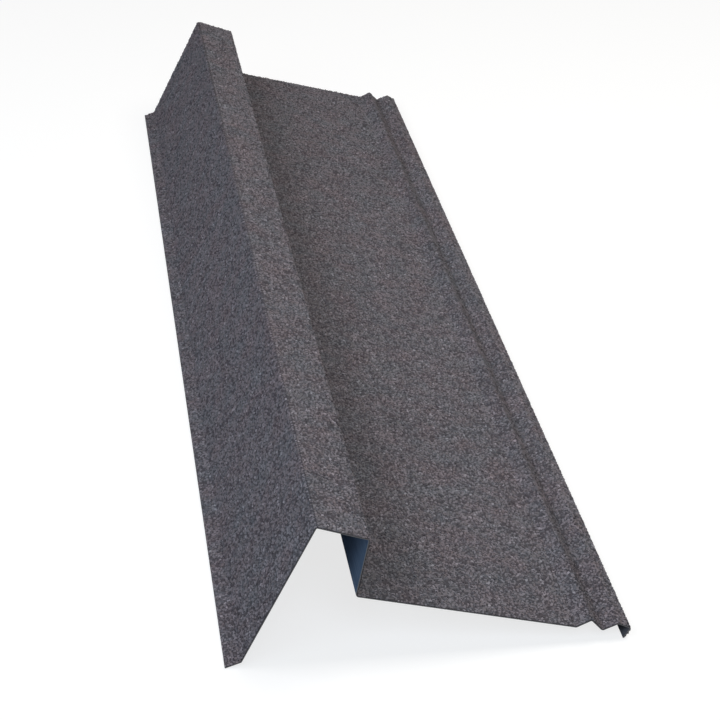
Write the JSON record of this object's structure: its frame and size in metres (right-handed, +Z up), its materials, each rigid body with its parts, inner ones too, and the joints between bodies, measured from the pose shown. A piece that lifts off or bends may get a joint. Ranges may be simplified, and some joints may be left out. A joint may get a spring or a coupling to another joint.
{
  "type": "barge cover",
  "caption": "Folded steel verge flashing with a stone chip coat: fascia with drip lip, batten cap, channel leg and a pan with water check ribs.",
  "frame": {"origin": "middle of the bounding box's foot, on the floor that the cover lies on", "axes": "+Y along the folds, +X from the fascia towards the pan, +Z up as it lies unheld"},
  "size_m": [0.3378, 1.25, 0.1289],
  "materials": {
    "stone_chip_coat": "matt stone chips, dark charcoal; smooth slate blue primer on the back"
  },
  "bodies": {
    "root": {"barge_cover": "stone_chip_coat"}
  },
  "joints": []
}
